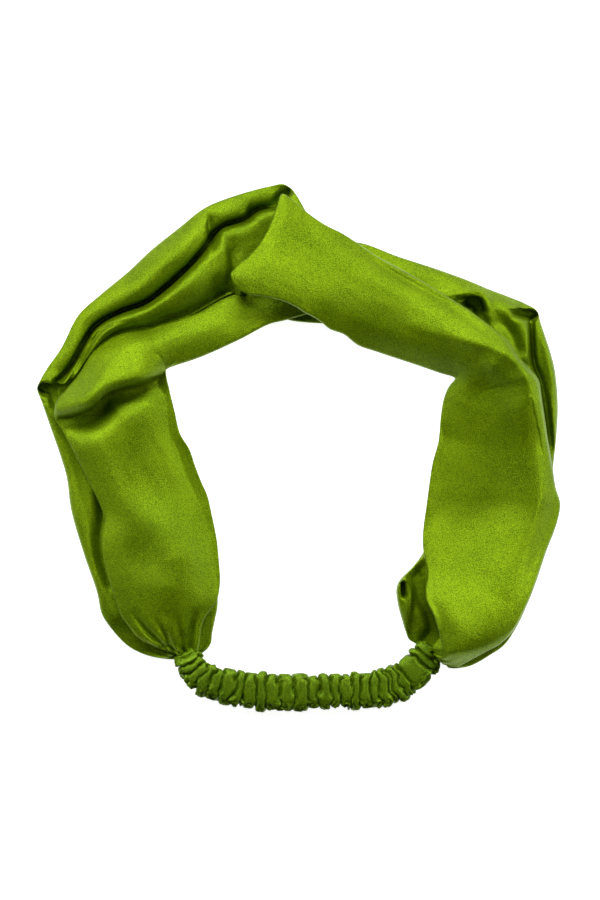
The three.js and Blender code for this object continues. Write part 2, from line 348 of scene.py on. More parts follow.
# Stations of a band: outer edge x, y, z, inner edge x, y, z, thickness.
LEFT_RAILS = [
    # back layer, from the gathered end up to the corner
    (-47.6, -83.0, 3.6, -41.0, -82.2, 3.6, 3.0),
    (-52.0, -84.4, 3.0, -37.5, -81.4, 3.2, 3.6),
    (-59.6, -83.4, 2.6, -34.9, -78.5, 3.2, 4.0),
    (-67.2, -80.0, 2.6, -34.3, -74.5, 3.4, 4.6),
    (-74.0, -73.4, 2.6, -33.2, -69.0, 3.4, 5.0),
    (-78.4, -67.0, 2.8, -32.2, -64.0, 3.4, 5.4),
    (-80.2, -59.0, 2.8, -32.0, -57.0, 3.2, 5.4),
    (-85.6, -43.0, 2.8, -34.0, -42.0, 3.0, 5.4),
    (-90.8, -25.0, 2.8, -40.0, -26.0, 3.0, 5.4),
    (-92.8, -11.0, 2.8, -45.0, -10.0, 3.0, 5.4),
    (-95.2, -3.0, 2.8, -50.0, -1.0, 3.0, 5.4),
    (-99.4, 9.0, 3.2, -56.0, 11.0, 3.4, 5.6),
    (-102.6, 18.4, 4.0, -64.0, 21.0, 4.0, 7.0),
    (-104.4, 23.8, 5.0, -68.0, 27.0, 4.5, 10.0),
    (-103.4, 26.4, 6.0, -71.0, 29.4, 5.0, 13.0),
    # top strand
    (-100.5, 31.5, 6.5, -76.0, 33.0, 6.0, 12.0),
    (-95.2, 39.0, 7.5, -74.0, 38.0, 7.0, 14.0),
    (-87.2, 53.8, 8.0, -66.0, 44.0, 8.0, 15.0),
    (-79.2, 61.0, 8.5, -60.0, 46.5, 8.0, 16.0),
    (-67.2, 71.0, 8.5, -54.0, 48.5, 8.0, 16.5),
    (-59.2, 78.6, 8.5, -47.0, 51.0, 8.0, 17.0),
    (-48.0, 87.6, 8.5, -39.0, 55.0, 8.5, 17.0),
    (-36.8, 96.2, 8.0, -32.0, 59.0, 7.5, 15.0),
    (-27.0, 100.2, 7.5, -26.5, 61.5, 7.0, 13.0),
    (-19.2, 102.6, 7.0, -22.5, 63.0, 7.0, 11.0),
    (-11.0, 104.6, 6.5, -18.5, 64.0, 7.0, 8.5),
    (-5.6, 105.4, 6.5, -16.5, 65.0, 7.5, 6.5),
    # round behind the right band
    (-2.2, 103.0, 7.0, -15.0, 65.5, 8.0, 5.5),
    (2.6, 95.6, 8.0, -13.4, 65.5, 8.5, 5.5),
    (9.0, 83.0, 9.0, -12.4, 65.0, 9.0, 5.5),
    (12.0, 70.0, 9.5, -12.2, 64.0, 9.5, 5.5),
    (9.5, 57.0, 10.0, -13.0, 62.5, 10.0, 5.5),
    (-4.0, 51.2, 9.5, -15.0, 63.5, 7.0, 6.0),
    # bottom strand
    (-11.2, 49.4, 9.0, -21.0, 65.0, 3.0, 5.4),
    (-23.2, 43.2, 9.0, -30.0, 64.0, 2.5, 6.0),
    (-39.2, 36.0, 8.6, -41.0, 58.5, 2.5, 7.5),
    (-50.4, 32.2, 8.5, -50.5, 53.5, 3.5, 9.5),
    (-52.6, 31.2, 8.5, -60.5, 49.0, 5.0, 11.0),
    (-52.8, 31.0, 8.5, -71.5, 47.6, 6.5, 12.0),
    (-52.8, 30.6, 8.5, -80.5, 40.5, 8.5, 12.5),
    (-52.8, 30.0, 8.5, -88.5, 28.5, 10.0, 12.5),
    (-52.6, 28.5, 8.0, -93.4, 22.8, 10.5, 12.0),
    (-52.2, 26.5, 7.8, -96.6, 19.0, 10.5, 11.0),
    (-51.6, 24.0, 7.5, -97.6, 15.0, 9.8, 9.5),
    # front layer, down to the gathered end
    (-50.4, 19.0, 7.5, -97.2, 11.4, 8.4, 10.0),
    (-49.2, 14.2, 7.5, -95.4, 8.4, 8.2, 10.5),
    (-47.2, 5.8, 7.0, -92.6, 3.6, 8.0, 10.5),
    (-43.2, -1.0, 6.6, -89.2, -3.0, 7.8, 9.6),
    (-41.2, -7.0, 6.2, -86.2, -9.0, 7.6, 8.8),
    (-38.4, -14.2, 5.9, -83.2, -15.0, 7.4, 8.1),
    (-36.0, -19.8, 5.9, -79.4, -23.0, 7.4, 7.8),
    (-34.4, -27.0, 6.2, -77.7, -28.0, 7.4, 7.9),
    (-32.4, -37.0, 6.8, -78.8, -37.0, 7.5, 8.2),
    (-31.6, -45.0, 7.3, -78.0, -44.0, 7.5, 8.5),
    (-31.2, -55.0, 7.5, -75.2, -54.5, 7.5, 8.5),
    (-32.4, -61.0, 7.8, -73.0, -61.0, 7.5, 8.0),
    (-35.6, -65.8, 7.8, -71.0, -67.0, 7.5, 7.5),
    (-38.0, -70.0, 7.8, -67.4, -72.0, 7.5, 7.0),
    (-39.0, -75.0, 7.5, -63.8, -76.2, 7.2, 6.0),
    (-39.4, -79.0, 6.8, -57.2, -79.6, 6.6, 5.0),
    (-40.8, -82.2, 5.6, -48.6, -82.8, 5.6, 3.2),
]
LEFT_BACK, LEFT_TOP, LEFT_BOTTOM, LEFT_FRONT = (0, 13), (13, 27), (33, 44), (41, 60)

ROLL_VALLEY = [
    (-96.4, 26.6), (-94.4, 28.2), (-89.2, 35), (-85.2, 42.2), (-82, 47.4), (-78.8, 50.2), (-71.2, 54.2),
    (-60, 58.6), (-55.2, 62.2), (-50.4, 66.2), (-43.2, 73), (-38, 79), (-34.4, 83.8), (-30.4, 88.4),
    (-25.2, 90.2), (-21.2, 91.4), (-17.2, 94.6), (-9.2, 97.8), (-5.0, 102.0),
]

LEFT_FOLDS = [
    # deep valley between the top strand's two rolls, and the crease at its bottom
    fold(ROLL_VALLEY, [-3, -5, -6, -6, -6, -5.5, -5, -4.5, -4, -3], 5.0, 2.0, LEFT_TOP, power=1.4),
    fold(ROLL_VALLEY, [-5, -10, -12, -12, -11, -11, -10, -10, -10, -10], 1.1, 0.9, LEFT_TOP, through=0.3),
    # groove between the lower roll's two creases, near the corner
    fold([(-93.4, 24), (-87.0, 34.5), (-81.4, 43.8), (-78.0, 47.6), (-73.6, 49.6), (-66, 51)],
         [-2, -4, -4, -3, -1, 0], 1.0, 1.0, LEFT_TOP),
    # valley below the lower roll
    fold([(-92, 21), (-86, 29), (-80, 37.5), (-74, 43.5), (-68, 45.5), (-58.4, 46.8), (-52.6, 49.8),
          (-44.6, 52.2), (-36.6, 56.2), (-30.4, 59.4)], -12, 2.2, 30, LEFT_TOP, power=1.8),
    # kinks that break the two rolls near the knot
    fold([(-36.0, 89.5), (-35.6, 83)], [-3.5, -5], 3.4, 0.7, LEFT_TOP),
    fold([(-19.8, 95.6), (-20.0, 93)], -2, 2.0, 0.7, LEFT_TOP),
    fold([(-28.6, 84.4), (-27.0, 78), (-26.4, 71), (-28, 65)], [-1.5, -3.0, -3, -2], 4.0, 1.6, LEFT_TOP),
    # three-cornered pit at the corner, down through the whole band
    fold([(-101.4, 23.6), (-98, 22.6), (-95.8, 18.0)], [-6, -11, -11], 2.0, 2.4, (8, 17), through=0.6,
         power=3),
    fold([(-100.6, 24.2), (-94, 24.8)], [-6, -12], 0.8, 2.6, (8, 17), through=0.4, power=3),
    # hole between this band's tip and the other one's
    fold([(-9.8, 98.6), (-7.0, 102.2), (-4.0, 104.0)], [-10, -11, -7], 0.8, 2.5, (21, 29), through=0.6,
         power=3),
    # tuck where the bottom strand turns down into the front layer
    fold([(-96.2, 12.6), (-92.6, 11.4), (-88.2, 11.8), (-84, 13.4), (-80.6, 16.2), (-77.2, 20.4),
          (-71.2, 22.8), (-64, 24.4), (-58, 26.6), (-53.2, 30.2)],
         [-1, -5, -9, -11, -11, -9, -7, -6, -4, -2], 1.8, 5.5, (36, 52), power=1.6),
    # roll that overhangs the tuck
    fold([(-88, 14.6), (-83, 17.6), (-78.6, 22.6), (-71.6, 25.8), (-64, 27.4), (-57, 29.6)],
         [1, 3, 3.6, 3, 2, 0.5], 5.5, 1.9, (38, 43)),
    # swell of the bottom strand, and its roll at the corner
    fold([(-84, 20), (-67, 28), (-51, 38), (-31, 46.5), (-19, 50)], [2.0, 2, 2, 1.2, 0], 13, 6,
         LEFT_BOTTOM, through=0.3),
    fold([(-94, 15.5), (-88, 18), (-83, 22), (-78, 28)], [1.5, 3, 3, 1], 5, 3.5, (36, 45)),
    # bent ridge of the front layer, with the hollow inside its bend
    fold([(-84, -2), (-76, -13), (-64.6, -26), (-52.6, -34.6), (-47.6, -44), (-49.4, -56.6),
          (-52, -68)],
         [0.5, 1.4, 2.2, 3.4, 4.2, 3.6, 1], 8, 11, LEFT_FRONT),
    fold([(-50, 20), (-46, 6), (-38, -8), (-31, -24), (-28, -44)], [-2, -5, -5, -4, -2], 10, 16,
         LEFT_FRONT),
    # shadowed gap beside the front layer's waist
    fold([(-78.4, -19), (-78.2, -29), (-78.8, -37), (-77.8, -45), (-75, -54)], [-3, -4, -4, -4, -2],
         2.4, 2.4, LEFT_BACK),
    # short pleats above the gathered end
    fold([(-67.2, -65), (-59.6, -74.4), (-53.2, -80.2)], [0, -2.2, -2.0], 1.5, 1.0, (53, 60)),
    fold([(-58, -67), (-53, -75.5), (-49.6, -81.4)], [0, -2.2, -1.8], 1.3, 1.2, (53, 60)),
    fold([(-48.6, -67), (-46.8, -76), (-45.4, -82)], [0, -1.8, -1.8], 1.2, 1.4, (53, 60)),
    fold([(-40.4, -64), (-42.2, -73), (-43.0, -80)], [0, -2.6, -2.0], 1.2, 1.6, (53, 60)),
    # highlight ridge of the back layer
    fold([(-101, 16), (-95, 1), (-90, -12), (-88, -24), (-84.4, -38), (-79, -56), (-74, -68)],
         [1, 1.6, 1.6, 1.8, 1.6, 1.6, 1], 2.2, 3.2, LEFT_BACK),
]

RIGHT_RAILS = [
    # back layer, from the gathered end up to the corner
    (58.8, -85.2, 3.6, 51.0, -77.6, 3.6, 3.0),
    (62.6, -88.0, 3.0, 47.8, -77.8, 3.4, 3.6),
    (67.4, -87.8, 2.6, 44.6, -77.0, 3.6, 4.0),
    (71.6, -86.2, 2.6, 42.8, -73.0, 4.0, 4.6),
    (76.0, -83.6, 2.6, 41.6, -69.0, 4.4, 5.0),
    (82.6, -79.0, 2.8, 40.3, -64.5, 5.0, 5.4),
    (86.5, -73.5, 2.8, 39.5, -60.5, 5.4, 5.4),
    (90.4, -66.0, 2.8, 39.2, -57.0, 5.6, 5.4),
    (93.6, -57.0, 2.8, 40.0, -54.0, 5.6, 5.4),
    (96.8, -48.0, 2.8, 41.8, -51.6, 5.2, 5.4),
    (99.0, -40.0, 2.8, 45.0, -48.6, 4.4, 5.4),
    (100.6, -30.0, 2.8, 50.0, -42.0, 3.6, 5.4),
    (101.0, -18.0, 2.8, 56.0, -26.0, 3.4, 5.4),
    (102.2, -7.0, 2.8, 58.0, -5.0, 3.2, 5.4),
    (103.6, 7.0, 3.2, 60.0, 10.0, 3.2, 6.0),
    (104.0, 17.0, 4.0, 62.0, 19.0, 3.4, 7.0),
    (102.8, 31.0, 4.8, 64.0, 28.0, 4.0, 9.0),
    (100.8, 39.0, 5.2, 64.0, 36.0, 4.6, 11.0),
    (98.8, 45.0, 5.6, 63.0, 40.0, 5.0, 12.0),
    (96.8, 51.0, 5.8, 61.0, 43.0, 5.0, 12.0),
    (95.6, 54.8, 6.0, 58.0, 45.0, 5.0, 12.0),
    # back strand, to the knot
    (91.0, 57.6, 6.0, 55.0, 46.5, 5.0, 12.0),
    (84.8, 60.2, 6.0, 50.0, 47.5, 5.0, 12.0),
    (76.8, 63.2, 5.8, 46.0, 48.0, 5.0, 11.5),
    (68.8, 66.6, 5.6, 42.0, 48.3, 5.0, 11.0),
    (56.8, 71.0, 5.4, 36.0, 48.6, 5.0, 9.0),
    (40.8, 76.2, 5.0, 26.0, 49.0, 5.0, 7.5),
    (23.2, 82.2, 4.8, 12.0, 49.4, 4.6, 6.0),
    (8.0, 80.0, 4.0, -4.0, 51.0, 4.2, 5.0),
    (-8.0, 72.0, 3.6, -12.0, 55.5, 4.0, 4.6),
    # up between the left band's strands
    (-17.0, 69.0, 3.8, -18.0, 60.0, 3.8, 4.4),
    (-23.0, 68.0, 8.0, -23.0, 60.6, 8.0, 4.4),
    (-24.4, 68.0, 15.0, -23.6, 61.0, 15.0, 4.2),
    (-25.8, 69.2, 18.5, -23.0, 63.2, 18.5, 3.6),
    (-26.6, 70.0, 20.5, -22.2, 62.6, 20.5, 3.4),
    # front strand, fanning out over the knot
    (-24.4, 72.6, 20.5, -20.4, 61.4, 21.0, 3.4),
    (-19.2, 77.0, 19.5, -14.4, 60.4, 20.5, 3.6),
    (-14.4, 83.0, 18.0, -9.0, 59.2, 20.0, 3.8),
    (-11.0, 89.6, 16.6, -4.5, 57.6, 19.5, 4.0),
    (-8.4, 96.8, 15.4, -0.6, 55.6, 19.0, 4.2),
    (-6.2, 101.6, 14.6, 2.4, 53.6, 18.4, 4.4),
    (-2.6, 99.4, 14.4, 4.6, 52.6, 17.8, 4.6),
    (2.8, 94.8, 14.2, 8.8, 50.2, 17.0, 5.0),
    (10.8, 89.2, 14.0, 13.0, 47.0, 16.5, 6.0),
    (16.8, 86.2, 13.5, 18.0, 45.2, 15.0, 7.0),
    (23.2, 82.2, 13.0, 23.6, 41.0, 13.0, 8.5),
    (31.0, 77.0, 12.5, 31.0, 38.4, 11.0, 10.0),
    (40.8, 71.8, 12.5, 40.8, 35.2, 10.5, 10.0),
    (52.8, 65.0, 13.0, 50.0, 32.2, 10.0, 10.0),
    (60.8, 60.2, 13.5, 57.0, 29.8, 9.8, 10.0),
    (68.8, 55.4, 14.0, 61.4, 28.6, 9.6, 10.0),
    (75.5, 50.8, 14.5, 62.8, 27.9, 9.4, 10.0),
    (81.5, 46.5, 14.5, 62.8, 27.4, 9.2, 10.0),
    (85.6, 42.8, 14.5, 62.4, 26.8, 9.0, 10.0),
    (89.2, 37.4, 14.0, 61.6, 26.0, 8.8, 10.0),
    (93.6, 32.6, 13.5, 60.6, 24.8, 8.6, 10.0),
    (96.6, 28.4, 12.8, 59.4, 22.6, 8.4, 9.5),
    # front layer, down to the gathered end
    (98.0, 20.5, 12.0, 58.0, 18.4, 8.0, 9.0),
    (99.2, 11.0, 11.0, 56.9, 11.0, 7.8, 8.5),
    (100.2, 3.0, 10.0, 56.2, 3.0, 7.6, 8.0),
    (102.0, -8.0, 9.0, 53.6, -7.0, 7.4, 7.0),
    (103.2, -16.0, 8.2, 52.2, -16.5, 7.2, 6.5),
    (105.0, -22.5, 7.4, 51.2, -24.0, 7.0, 6.0),
    (104.0, -29.0, 7.0, 50.2, -31.0, 7.0, 6.3),
    (102.0, -35.0, 7.2, 49.8, -37.0, 7.2, 6.6),
    (99.6, -41.0, 7.4, 50.2, -42.5, 7.4, 7.0),
    (97.6, -47.0, 7.6, 51.4, -48.5, 7.6, 7.2),
    (95.6, -53.0, 7.6, 51.4, -52.6, 7.6, 7.5),
    (93.0, -60.0, 7.6, 50.6, -56.4, 7.8, 8.0),
    (90.2, -66.0, 7.6, 50.8, -60.0, 8.0, 8.5),
    (87.0, -72.0, 7.6, 52.2, -63.6, 8.0, 8.5),
    (84.0, -75.8, 7.6, 54.2, -67.4, 8.0, 8.5),
    (80.4, -78.8, 7.6, 55.6, -71.0, 7.6, 8.5),
    (75.8, -81.2, 7.4, 56.8, -75.0, 7.2, 8.0),
    (70.4, -84.2, 7.0, 57.6, -78.6, 6.8, 6.5),
    (63.4, -87.6, 6.2, 57.4, -81.0, 6.2, 4.6),
    (58.8, -86.6, 5.6, 53.0, -79.6, 5.6, 3.2),
]
RIGHT_BACK, RIGHT_STRAND = (0, 19), (17, 28)

RIGHT_FOLDS = [
    # the long ridge over the knot and round the corner
    fold([(-21.2, 63.6), (-11.2, 62.6), (0.8, 62), (16.8, 60.2), (28.8, 57), (40.8, 51.8),
          (52.8, 47.8), (64.8, 45), (80.8, 41.8), (88, 37.6), (92.6, 31), (94.4, 22)],
         [0, 1.5, 2.5, 3, 3.5, 3.5, 4, 5, 6.5, 7.5, 7, 5], 17, 14, (35, 62), through=0.8),
    fold([(40.8, 51.8), (52.8, 47.8), (64.8, 45), (80.8, 41.8), (88, 37.6), (92.6, 31), (94.4, 22)],
         [0, 1, 1.5, 2, 2.5, 2.5, 1.5], 5, 3.2, (44, 60)),
    fold([(75, 33), (80, 35), (85, 38.4)], [0.5, 1.6, 1], 3.5, 3, (46, 60)),
    # its way down the outside of the front layer
    fold([(93.6, 27), (95.2, 17), (96, 5), (96.8, -7), (96, -21), (92, -34), (86, -47), (80, -60)],
         [2, 4, 4.5, 5, 5, 4, 2, 0], 6, 11, (54, 72), through=0.3),
    # hollow along the inner edge
    fold([(67, 18), (61, 4), (58, -12), (57, -28), (59, -44), (64, -60)], [0, -2.2, -2.8, -2.6, -1.6, 0],
         13, 8, (50, 72)),
    # bulge above the gathered end
    fold([(60, -80), (72, -79), (88, -70)], 9, 26, 6, (56, 76), through=0.2),
    # pleats along the front strand's outer edge
    fold([(25.6, 79.8), (28.8, 78.2), (40.8, 70.4), (48.8, 66.6), (58.8, 61), (68.8, 54.6)],
         [0, 0.4, 0.5, 0.5, 0.3, 0], 1.2, 0.8, (44, 52)),
    fold([(26.8, 77), (30.8, 74.4), (44.8, 66.4), (56.8, 60), (68.8, 52.4), (76, 48)],
         [0, -0.4, -0.5, -0.5, -0.4, 0], 0.9, 1.6, (44, 53)),
    # back strand: ridge, pocket, the fold beside it and the hollow it hides
    fold([(38.8, 72), (48.8, 70), (60.8, 67), (68, 64.4)], [0, 1.0, 1.2, 0.8], 3, 3.5, RIGHT_STRAND),
    fold([(64.6, 59.0), (69, 59.2), (72.4, 58.6), (74.0, 55.0)], [-6, -10, -12, -12], 1.2, 5, RIGHT_STRAND,
         power=3),
    fold([(56, 60.6), (64, 61.4), (70, 62.6), (73.4, 62.2), (75.8, 59), (76.4, 53)],
         [0.3, 0.8, 1.2, 1.4, 1.6, 1.2], 1.8, 1.0, RIGHT_STRAND),
    fold([(75.6, 60), (83.6, 57), (88.8, 51), (91.2, 46.2), (90.4, 37)], [0.5, 1.6, 2.8, 3, 2.4], 3, 4.4,
         (15, 25)),
    fold([(82.4, 50), (85.4, 45.6), (87.6, 40)], [-1.6, -2.6, -2.2], 3, 2.6, (15, 25)),
    # gap between that fold and the outermost one
    fold([(88.4, 55), (91.4, 54.4), (94.0, 54.2)], [-9, -14, -10], 0.7, 2.6, (16, 25), through=0.5,
         power=3),
    fold([(92.4, 54), (93.2, 49.6), (93.6, 43), (94.4, 34.2), (97.0, 27), (99.6, 14), (101.2, 0)],
         [-10, -10, -10, -10, -8, -7, -5], 1.0, 0.9, (12, 23)),
    fold([(96.2, 52), (98, 44.6), (100, 37), (101.4, 30), (102, 18), (101.8, 6), (101, -6)],
         [1, 2, 2.5, 2.5, 2.5, 2.5, 1], 2.0, 2.4, (12, 21)),
    # curl of the inner edge above the gathered end: rolled rim, hole, upright fold, dark recess
    fold([(49, -44.6), (43, -50), (40.4, -54), (40.4, -60), (42, -68)], [2, 3, 3.4, 2, 0.5], 2.2, 1.6,
         RIGHT_BACK),
    fold([(43.4, -53.6), (44.4, -58), (44, -66), (43.6, -73)], [4, 3, 2, 1], 1.4, 2.2, RIGHT_BACK),
    fold([(41.8, -54.6), (42.2, -59)], [-6, -6], 0.8, 0.8, RIGHT_BACK),
    fold([(47.6, -53), (50, -60), (53.6, -66.4), (55, -73), (52, -78)], [-4, -5, -6, -7, -5], 4.2, 3,
         RIGHT_BACK),
    fold([(51.2, -55), (51.4, -61), (54.2, -66.4), (56, -72)], [0.5, 1.2, 1.4, 1], 1.2, 1.2, (64, 75)),
]

PLEATS = {  # end station, reach in stations, count across, height, phase
    "left_band": [(0, 4, 4, 0.6, 0.1), (60, 3.0, 4, 0.5, 0.3)],
    "right_band": [(0, 4, 4, 0.6, 0.4), (76, 2.5, 3, 0.5, 0.0)],
}


def band(name, rails, folds, seed):
    """One band, from its gathered start round the knot to its gathered end."""
    ring, uv = band_grid(rails, folds, PLEATS[name], seed)
    obj = tube_object(name + "_satin", ring, uv)
    obj.data.materials.append(BAND_SATIN)
    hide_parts(name)
    return obj


# ------------------------------------------------------------------ casing, elastic and threads
CASING_LINE = [  # x, y, half width, half height, from the left neck to the right one
    (-45.2, -81.8, 3.9, 3.2), (-43.6, -85.4, 4.9, 4.2), (-41.4, -89.4, 5.8, 4.6), (-36.2, -93.4, 6.4, 4.8),
    (-27.0, -96.0, 6.5, 4.8), (-15.0, -97.6, 6.5, 4.8), (0.0, -98.0, 6.6, 4.8), (15.0, -97.4, 6.6, 4.8),
    (31.0, -96.8, 6.5, 4.8), (40.0, -94.2, 6.6, 4.8), (46.6, -89.4, 6.8, 4.8), (51.2, -84.2, 6.4, 4.6),
    (53.6, -79.8, 5.4, 4.0),
]
# Lengths of the casing's ribs, and of the smoother stretch near its right end, in mm.
RIB_LENGTHS = [4.4, 4.0, 3.4, 3.8, 4.6, 5.0, 3.6, 5.0, 4.2, 4.8, 5.4, 5.4, 4.6, 4.6, 4.2, 3.6, 3.2,
               4.8, 2.6, 3.6, 2.2, 3.4, 2.4, 8.0, 3.8, 4.0]
CASING_AROUND = 88          # points round the casing
CASING_STEP = 0.28          # mm between its rings
CASING_WALL = 0.8           # mm
CASING_EASE = (0.9, 0.3)    # mm that the ribs stand out from CASING_LINE's sizes, sideways and upwards
PULLED_IN = (1.3, 0.8)      # how much of a valley's depth counts sideways and upwards
CASING_POWER = (0.7, 0.38)  # squareness of the section sideways and upwards: 1 would be an ellipse
CASING_CLEAR = 0.05         # mm between the casing and the table
RIB_SEED = 7                # of the ribs' unevenness
RIB_NOISE = (6, 1.3)        # its size: mm along the casing, and how fine it is round it
FINER = 1.7                 # how much finer the unevenness in depth is than that in place
RIB_DEPTH = 2.3             # mm
RIB_WANDER = 2.0            # mm that a valley strays along the casing on its way round it
RIB_SHARPNESS = 5           # higher makes the ribs broader and the valleys narrower
CREASE_DEPTH = 0.06         # mm
NECK_FADE = 5               # mm at each end over which the ribs grow to their depth
NECK_DEPTH = 0.3            # share of that depth which they have at the very end


def line_frame(line, step):
    """Points, sideways directions and run of a flat centre line, evenly spaced."""
    fine = spline(line, np.linspace(0, len(line) - 1, 40 * len(line)))
    run = distance_along(fine[:, :2])
    even = np.linspace(0, run[-1], int(run[-1] / step))
    p = np.stack([np.interp(even, run, fine[:, k]) for k in range(fine.shape[1])], 1)
    along = unit(blur(np.gradient(p[:, :2], axis=0), 20))
    sideways = np.stack([-along[:, 1], along[:, 0]], 1)
    return p, sideways, even


def round_noise(run, angle, length, fineness, seed, octaves):
    """Noise on a tube's surface: length is mm along it, and more fineness is finer round it."""
    place = np.stack(np.broadcast_arrays(run[:, None] / length, fineness * np.cos(angle)[None],
                                         fineness * np.sin(angle)[None]), -1)
    return fractal(place.reshape(-1, 3), seed, octaves).reshape(len(run), -1)


def rib_shape(run, angle):
    """How far the ruched cloth is pulled in: about 0 on a rib and 1 in a valley.

    The outer edge, away from the knot, is crinkled more finely.
    """
    bounds = np.concatenate([[0], np.cumsum(RIB_LENGTHS)])
    bounds *= run[-1] / bounds[-1]
    length, fineness = RIB_NOISE
    wander = round_noise(run, angle, length, fineness, RIB_SEED, 2)
    depth = 1.1 + 0.5 * round_noise(run, angle, length / FINER, fineness * FINER, RIB_SEED + 1, 2)
    # place counts ribs along the casing, with each rib's middle at a half
    place = np.interp(run[:, None] + RIB_WANDER * wander, bounds, np.arange(len(bounds)))
    rib = np.floor(place)
    pulled = depth * np.abs(2 * (place - rib) - 1) ** RIB_SHARPNESS
    # smaller ribs on the outer edge, two to each of the others
    small = np.abs(2 * ((2.0 * place + 1.3 * wander) % 1) - 1) ** 2
    outer = smoothstep(-np.sin(angle), 0.2, 1.0)[None]
    taller = 0.6 * np.sin(2.4 * rib + 1) + 0.5 * np.sin(5.7 * rib)
    return pulled * (1 - 0.2 * outer) + 0.6 * small * outer - 0.3 * taller


def signed_power(values, power):
    """Values raised to a power, with their signs kept."""
    return np.sign(values) * np.abs(values) ** power


def casing_rings():
    """The casing's outer wall, then its inner one back again, as rings of points."""
    p, sideways, run = line_frame(CASING_LINE, CASING_STEP)
    angle = np.linspace(0, 2 * np.pi, CASING_AROUND, endpoint=False)
    ends = smoothstep(np.minimum(run, run[-1] - run), 0, NECK_FADE)[:, None]
    creases = round_noise(run, angle, 0.9, 2.2, 3, 3)
    fade = NECK_DEPTH + (1 - NECK_DEPTH) * ends
    pull = fade * (RIB_DEPTH * rib_shape(run, angle) + CREASE_DEPTH * creases)
    sides = signed_power(np.sin(angle), CASING_POWER[0])
    tops = signed_power(np.cos(angle), CASING_POWER[1])
    walls = []
    for inset in (0, CASING_WALL):
        across = (p[:, 2:3] + CASING_EASE[0] - PULLED_IN[0] * pull - inset) * sides[None]
        height = (p[:, 3:4] + CASING_EASE[1] - PULLED_IN[1] * pull - inset) * tops[None]
        x = p[:, 0:1] + sideways[:, 0:1] * across
        y = p[:, 1:2] + sideways[:, 1:2] * across
        z = np.maximum(p[:, 3:4] + height, CASING_CLEAR + inset)
        walls.append(np.stack([x, y, z], -1))
    return np.concatenate([walls[0], walls[1][::-1]]), run, angle


def wall_object(name, rings, uv):
    """A closed mesh from a tube's rings going along its outside and back along its inside."""
    rows, columns = rings.shape[:2]
    faces = grid_faces(rows, columns, closed_rows=True)
    return mesh_object(name, to_row(rings.reshape(-1, 3)), faces, uv)


def casing():
    """The ruched casing, open at both ends."""
    rings, run, angle = casing_rings()
    along = np.concatenate([run, run[::-1]])
    uv = np.stack(np.broadcast_arrays(along[:, None] / UV_UNIT, 4 * angle[None] / (2 * np.pi)), -1)
    obj = wall_object("elastic_casing_satin", rings, uv.reshape(-1, 2))
    obj.data.materials.append(CASING_SATIN)
    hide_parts("elastic_casing")
    return obj


ELASTIC_STEP = 0.5            # mm between its sections
ELASTIC_HALF_WIDTH = 3.4      # mm
ELASTIC_HALF_THICK = 0.6      # mm
ELASTIC_LIFT = 0.3            # mm above the casing's middle
ELASTIC_ROOM = 1.6            # mm between the elastic's edge and the casing's in the narrow necks
ELASTIC_RIPPLE = (0.12, 2.2)  # mm, height and length of the weave's ripples
# The elastic's section: places across it from -1 to 1, and its surface from -1, under, to 1, over.
ELASTIC_ACROSS = [-1, -0.96, -0.8, -0.4, 0, 0.4, 0.8, 0.96, 1, 0.96, 0.8, 0.4, 0, -0.4, -0.8, -0.96]
ELASTIC_SURFACE = [0, 0.7, 1, 1, 1, 1, 1, 0.7, 0, -0.7, -1, -1, -1, -1, -1, -0.7]


def elastic():
    """The woven elastic inside the casing, with its tails in the two necks."""
    p, sideways, run = line_frame(CASING_LINE, ELASTIC_STEP)
    u, thick = np.array(ELASTIC_ACROSS), np.array(ELASTIC_SURFACE)
    across = np.minimum(ELASTIC_HALF_WIDTH, p[:, 2:3] - ELASTIC_ROOM) * u[None]
    height, length = ELASTIC_RIPPLE
    ripple = height * np.sin(2 * np.pi * run / length)[:, None]
    x = p[:, 0:1] + sideways[:, 0:1] * across
    y = p[:, 1:2] + sideways[:, 1:2] * across
    z = p[:, 3:4] + ELASTIC_LIFT + ripple + ELASTIC_HALF_THICK * thick[None]
    uv = np.stack(np.broadcast_arrays(run[:, None] / UV_UNIT, u[None]), -1)
    obj = tube_object("elastic_strip_woven", np.stack([x, y, z], -1), uv)
    obj.data.materials.append(WOVEN_ELASTIC)
    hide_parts("elastic_strip")
    return obj


THREAD_TURNS = 3
THREAD_RADIUS = 0.19     # mm, one ply
PLY_OFFSET = 0.17        # mm from the thread's centre line to a ply's
PLY_TWIST = 1.1          # mm per turn of the ply
PLY_POINTS = 8           # round a ply
TURN_POINTS = 150        # along each turn round the neck
THREAD_SPREAD = 1.9      # mm along the neck that the turns take


def wound_line(centre, pointing, half_width, half_height, height):
    """A line wound round a neck, with the directions along it, outwards and across."""
    turn = np.linspace(0, 2 * np.pi * THREAD_TURNS, TURN_POINTS * THREAD_TURNS)
    pointing = unit(np.array(pointing, float))
    sideways = np.array([-pointing[1], pointing[0]])
    shift = (turn / turn[-1] - 0.5) * THREAD_SPREAD
    x, y = (centre[k] + sideways[k] * half_width * np.cos(turn) + pointing[k] * shift for k in (0, 1))
    line = np.stack([x, y, height + half_height * np.sin(turn)], 1)
    along = unit(np.gradient(line, axis=0))
    out = unit(line - np.array([centre[0], centre[1], height]))
    out = unit(out - (out * along).sum(1, keepdims=True) * along)
    return line, out, np.cross(along, out)


